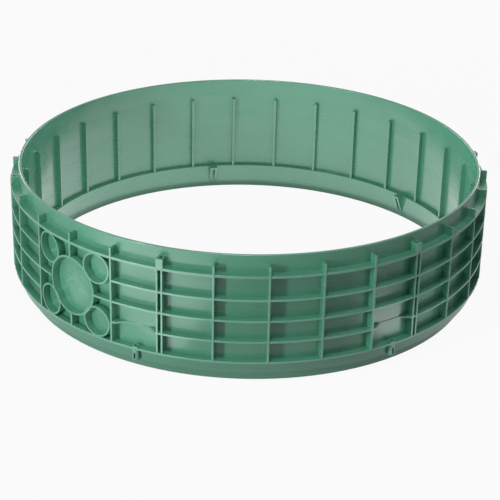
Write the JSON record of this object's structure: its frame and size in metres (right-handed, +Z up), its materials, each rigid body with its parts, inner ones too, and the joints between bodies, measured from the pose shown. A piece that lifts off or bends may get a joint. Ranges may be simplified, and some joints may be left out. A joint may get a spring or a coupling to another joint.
{
  "type": "septic tank riser",
  "caption": "Green moulded plastic ring that raises a septic tank opening to ground level, with a ribbed wall, a top tongue, a groove underneath and a group of round pipe port collars.",
  "frame": {"origin": "centre of the foot, on the floor the riser stands on", "axes": "+Z up along the ring's axis, towards the tongue; -Y towards the picture's camera"},
  "size_m": [0.6638, 0.663, 0.177],
  "materials": {
    "green_plastic": "satin"
  },
  "bodies": {
    "root": {"riser": "green_plastic"}
  },
  "joints": []
}
